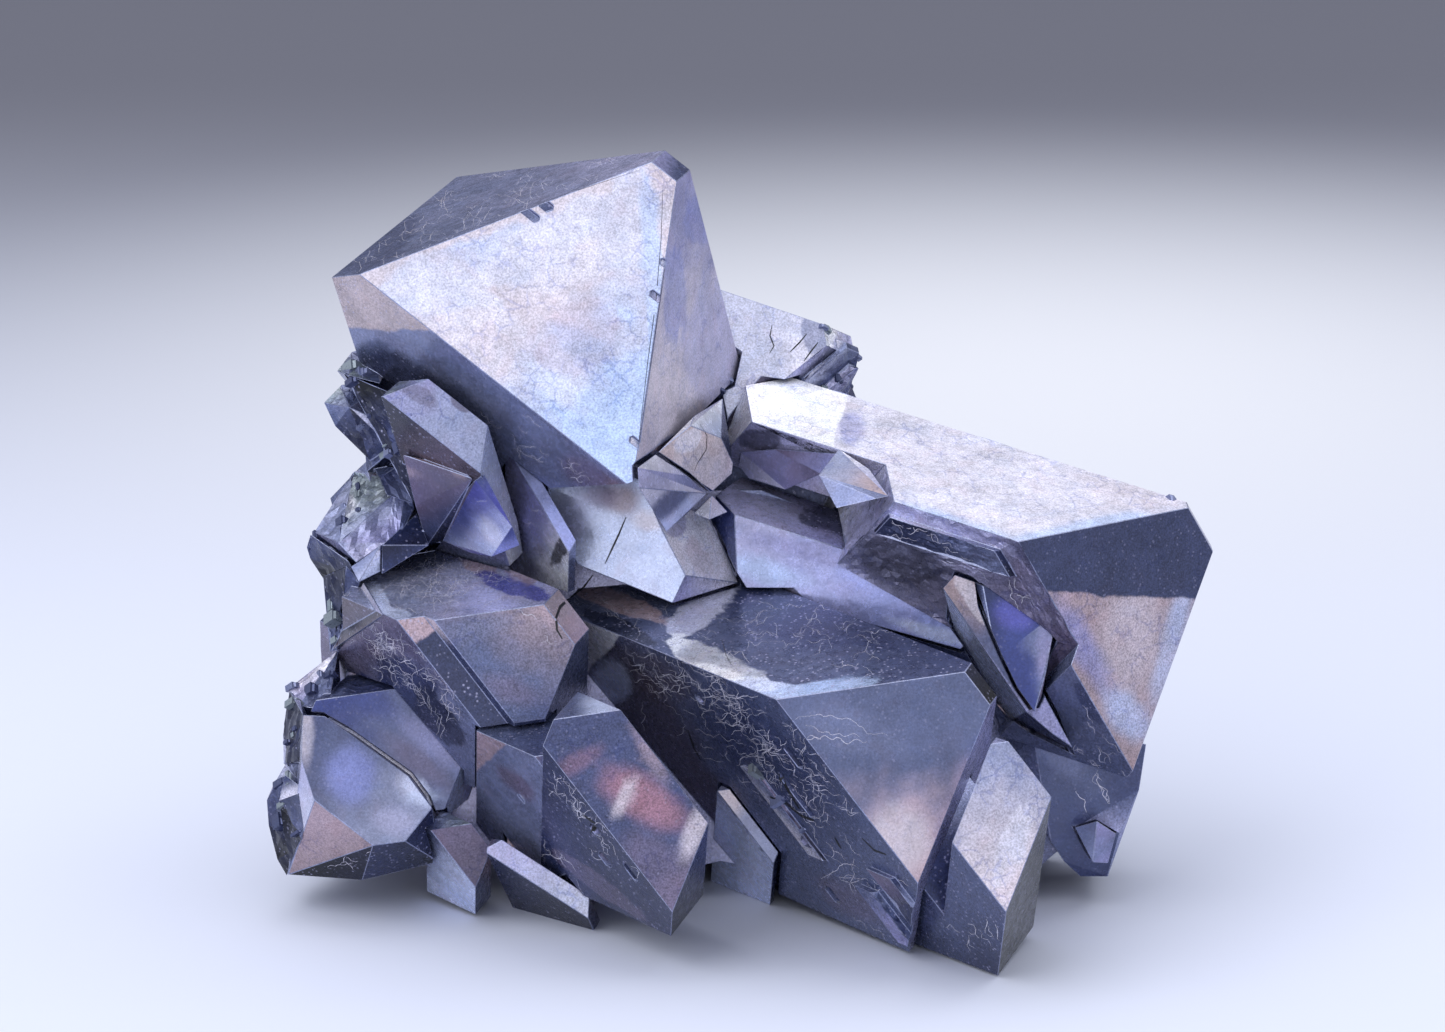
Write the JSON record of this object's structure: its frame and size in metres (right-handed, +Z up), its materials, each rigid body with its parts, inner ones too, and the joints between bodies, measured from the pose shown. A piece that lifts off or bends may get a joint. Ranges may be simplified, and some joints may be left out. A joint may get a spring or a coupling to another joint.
{
  "type": "galena crystal cluster",
  "caption": "Cluster of intergrown octahedral galena crystals with flat metallic faces, open seams, stepped edges and a cleaved back, standing on a flat base.",
  "frame": {"origin": "middle of the base, on the flat cut it rests on", "axes": "+Z up, +X along the width of the cluster, -Y towards the showing side"},
  "size_m": [0.072, 0.0518, 0.0582],
  "materials": {
    "galena": "bright lead-grey metallic crystal faces with a blue and rose tarnish"
  },
  "bodies": {
    "root": {"galena_cluster": "galena"}
  },
  "joints": []
}
